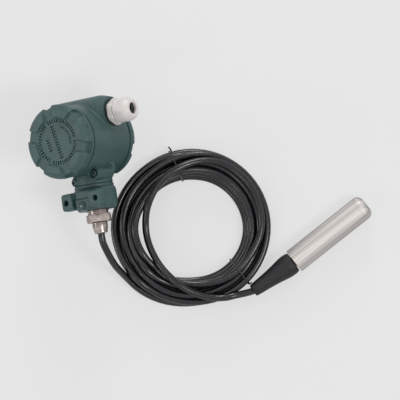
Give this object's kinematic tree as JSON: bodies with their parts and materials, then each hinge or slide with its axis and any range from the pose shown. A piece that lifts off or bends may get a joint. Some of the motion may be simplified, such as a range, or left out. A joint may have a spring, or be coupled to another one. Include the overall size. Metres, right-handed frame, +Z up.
{
  "type": "submersible level transmitter",
  "caption": "Field housing with screwed covers on a coiled cable, ending in a rubber boot and a rod-shaped stainless level probe.",
  "frame": {"origin": "on the table, under the middle of all but the cable and what is on it", "axes": "+Z up from the table, +X from the housing towards the probe, +Y towards the conduit side of the housing"},
  "size_m": [0.3684, 0.2251, 0.1194],
  "materials": {
    "green_paint": "dark green powder coat on cast aluminium",
    "white_plastic": "white nylon",
    "black_rubber": "matt black rubber",
    "cable_jacket": "black cable jacket, slightly glossy",
    "stainless": "turned stainless steel",
    "zinc": "zinc plated steel",
    "board_green": "coated circuit board",
    "dark_plastic": "black moulded plastic"
  },
  "bodies": {
    "transmitter": {"housing_body": "green_paint", "bracket_base": "green_paint", "conduit_plug": "green_paint", "gland_body": "white_plastic", "base_oring": "black_rubber", "gland_washer": "black_rubber", "plug_washer": "black_rubber", "steel_gland_seal": "black_rubber", "sensor_oring": "black_rubber", "cable_boot": "black_rubber", "cable_lead": "cable_jacket", "cable_coil": "cable_jacket", "cable_tail": "cable_jacket", "steel_collar": "stainless", "steel_gland_body": "stainless", "steel_gland_nut": "stainless", "probe_tube": "stainless", "probe_nose_cap": "stainless", "probe_bush": "stainless", "sensor_cell": "stainless", "neck_set_screw": "zinc", "boss_lock_screw": "zinc", "ground_screw": "zinc", "ground_washer": "zinc", "board_screw_left": "zinc", "board_screw_right": "zinc", "terminal_screw_1": "zinc", "terminal_screw_2": "zinc", "terminal_screw_3": "zinc", "inner_ground_screw": "zinc", "electronics_board": "board_green", "electronics_module": "dark_plastic", "zero_trimmer": "dark_plastic", "span_trimmer": "dark_plastic", "terminal_block": "dark_plastic", "upper_tie": "dark_plastic", "lower_tie": "dark_plastic"},
    "front_seal": {"front_oring": "black_rubber"},
    "front_closure": {"front_cover": "green_paint"},
    "rear_seal": {"rear_oring": "black_rubber"},
    "rear_closure": {"rear_cover": "green_paint"},
    "gland_insert": {"gland_seal": "black_rubber"},
    "gland_nut": {"gland_cap_nut": "white_plastic"}
  },
  "joints": [
    {"name": "front_cover_travel", "type": "slide", "parent": "transmitter", "child": "front_seal", "axis": [-0.5756, -0.0313, 0.8172], "range_m": [0, 0.0101]},
    {"name": "front_cover_turn", "type": "hinge", "parent": "front_seal", "child": "front_closure", "pos_m": [-0.1438, 0.04443, 0.08464], "axis": [-0.5756, -0.0313, 0.8172], "range_deg": [0, 1800]},
    {"name": "rear_cover_travel", "type": "slide", "parent": "transmitter", "child": "rear_seal", "axis": [0.5756, 0.0313, -0.8172], "range_m": [0, 0.0101]},
    {"name": "rear_cover_turn", "type": "hinge", "parent": "rear_seal", "child": "rear_closure", "pos_m": [-0.10581, 0.04649, 0.03071], "axis": [0.5756, 0.0313, -0.8172], "range_deg": [0, 1800]},
    {"name": "cap_nut_travel", "type": "slide", "parent": "transmitter", "child": "gland_insert", "axis": [0.8034, 0.1649, 0.5722], "range_m": [0, 0.0046]},
    {"name": "cap_nut_turn", "type": "hinge", "parent": "gland_insert", "child": "gland_nut", "pos_m": [-0.08632, 0.07714, 0.07718], "axis": [0.8034, 0.1649, 0.5722], "range_deg": [0, 1080]}
  ],
  "couplings": [
    {"joint": "front_cover_travel", "follows": "front_cover_turn", "m_per_rad": 0.00031831},
    {"joint": "rear_cover_travel", "follows": "rear_cover_turn", "m_per_rad": 0.00031831},
    {"joint": "cap_nut_travel", "follows": "cap_nut_turn", "m_per_rad": 0.00023873}
  ]
}
